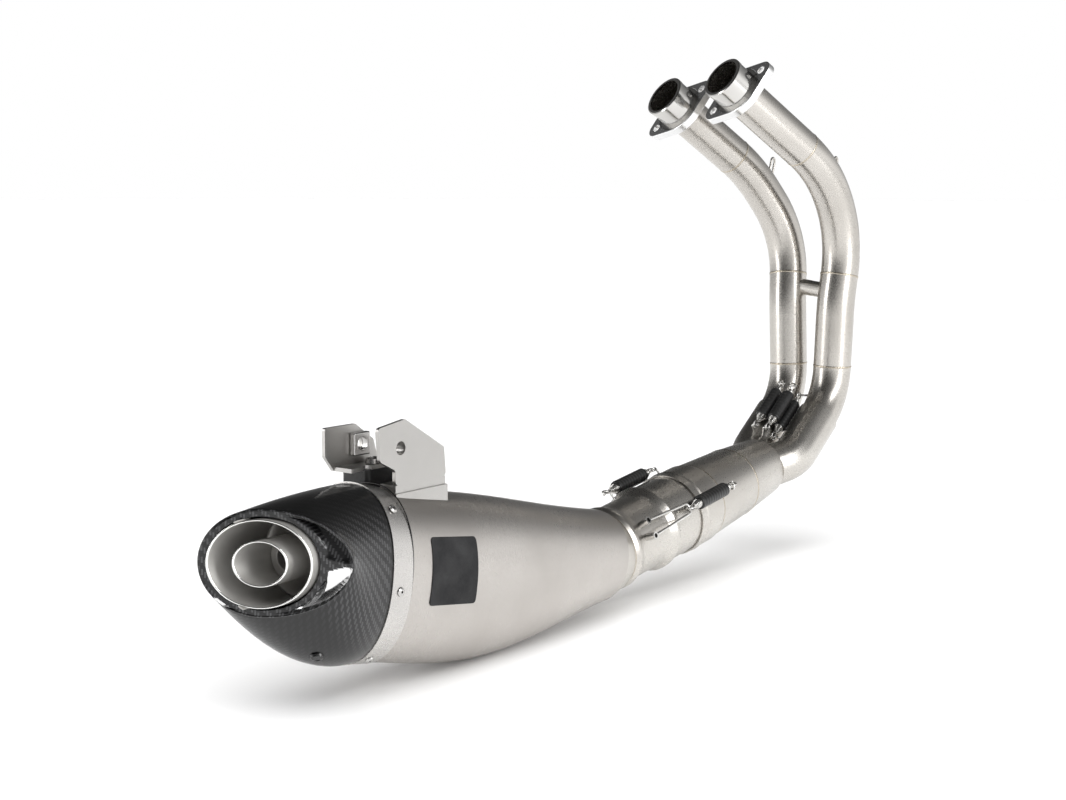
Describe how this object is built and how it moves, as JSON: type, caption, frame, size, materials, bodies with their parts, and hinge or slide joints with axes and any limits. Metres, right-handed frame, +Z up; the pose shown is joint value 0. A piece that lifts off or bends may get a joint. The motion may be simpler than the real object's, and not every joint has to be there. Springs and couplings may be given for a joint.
{
  "type": "motorcycle exhaust system",
  "caption": "Twin header pipes with stud flanges, sprung slip joints, a merged collector, and a tapered oval silencer with a slash-cut outlet and a hanger bracket.",
  "frame": {"origin": "centre of the left header flange on its engine-side face", "axes": "+Z up on the motorcycle; +X along the silencer from its outlet towards the engine, level; +Y inboard, away from the side that the outlet faces"},
  "size_m": [0.8303, 0.1759, 0.4844],
  "materials": {
    "header_steel": "brushed, slightly heat tinted",
    "flange_aluminium": "bright machined",
    "turned_steel": "polished",
    "silicone": "satin black",
    "spring_wire": "bright drawn wire",
    "collector_steel": "brushed",
    "silencer_titanium": "fine satin brushed",
    "band_steel": "satin",
    "carbon_composite": "clear-coated twill",
    "outlet_steel": "satin, bright cut rims",
    "badge_foil": "matte dark foil",
    "glass_wool": "fibrous",
    "mount_rubber": "matte",
    "inner_steel": "plain",
    "bracket_steel": "bright brushed",
    "fastener_steel": "bright"
  },
  "bodies": {
    "headers": {"crossover_tube": "header_steel", "header_spring_hooks": "spring_wire", "header_spring_sleeves": "silicone", "header_wire_loops": "header_steel", "left_header_bend_tube": "header_steel", "left_header_lower_tube": "header_steel", "left_header_middle_tube": "header_steel", "left_header_spring": "spring_wire", "left_header_upper_tube": "header_steel", "left_port_lip": "turned_steel", "middle_header_spring": "spring_wire", "right_header_bend_tube": "header_steel", "right_header_lower_tube": "header_steel", "right_header_middle_tube": "header_steel", "right_header_spring": "spring_wire", "right_header_upper_tube": "header_steel", "right_port_lip": "turned_steel"},
    "left_collar": {"left_collar_upper_half": "turned_steel", "left_collar_lower_half": "turned_steel"},
    "right_collar": {"right_collar_upper_half": "turned_steel", "right_collar_lower_half": "turned_steel"},
    "left_flange": {"left_header_flange": "flange_aluminium"},
    "right_flange": {"right_header_flange": "flange_aluminium"},
    "collector": {"left_collector_inlet": "collector_steel", "right_collector_inlet": "collector_steel", "merge_cone": "collector_steel", "collector_chamber": "collector_steel", "collector_socket": "collector_steel", "collector_inlet_hooks": "spring_wire", "collector_shell_hooks": "spring_wire", "inboard_silencer_spring": "spring_wire", "outboard_silencer_spring": "spring_wire", "silencer_spring_sleeves": "silicone"},
    "silencer": {"band_rivets": "fastener_steel", "blank_badge": "badge_foil", "cage_nut": "fastener_steel", "cap_screw": "fastener_steel", "core_inlet_cone": "inner_steel", "end_cap": "carbon_composite", "hanger_bolt": "fastener_steel", "hanger_bush": "bracket_steel", "hanger_far_plate": "bracket_steel", "hanger_foot": "bracket_steel", "hanger_near_plate": "bracket_steel", "inlet_pipe_hooks": "spring_wire", "noise_insert": "outlet_steel", "outlet_clips": "outlet_steel", "outlet_dish": "outlet_steel", "outlet_inner_tube": "outlet_steel", "outlet_outer_tube": "outlet_steel", "packing": "glass_wool", "perforated_core": "inner_steel", "rear_baffle": "inner_steel", "rear_band": "band_steel", "rubber_mount": "mount_rubber", "silencer_inlet_pipe": "collector_steel", "silencer_neck": "collector_steel", "silencer_sleeve": "silencer_titanium", "swivel_loop": "spring_wire"}
  },
  "joints": [
    {"name": "left_collar_turn", "type": "hinge", "parent": "headers", "child": "left_collar", "pos_m": [0, 0, 0], "axis": [0.7848, -0.2903, -0.5476], "continuous": true},
    {"name": "right_collar_turn", "type": "hinge", "parent": "headers", "child": "right_collar", "pos_m": [-0.01853, -0.07655, 0.01403], "axis": [0.7848, -0.2903, -0.5476], "continuous": true},
    {"name": "left_flange_slide", "type": "slide", "parent": "headers", "child": "left_flange", "axis": [0.7848, -0.2903, -0.5476], "range_m": [0, 0.03]},
    {"name": "right_flange_slide", "type": "slide", "parent": "headers", "child": "right_flange", "axis": [0.7848, -0.2903, -0.5476], "range_m": [0, 0.03]},
    {"name": "collector_slip", "type": "slide", "parent": "headers", "child": "collector", "axis": [-0.8237, 0, -0.567], "range_m": [0, 0.01], "stiffness_N_per_m": 9000, "springref_m": -0.008, "deforming": ["left_header_spring", "middle_header_spring", "right_header_spring", "header_spring_sleeves"]},
    {"name": "silencer_slip", "type": "slide", "parent": "collector", "child": "silencer", "axis": [-0.9903, 0, -0.1392], "range_m": [0, 0.012], "stiffness_N_per_m": 6000, "springref_m": -0.01, "deforming": ["inboard_silencer_spring", "outboard_silencer_spring", "silencer_spring_sleeves"]}
  ]
}
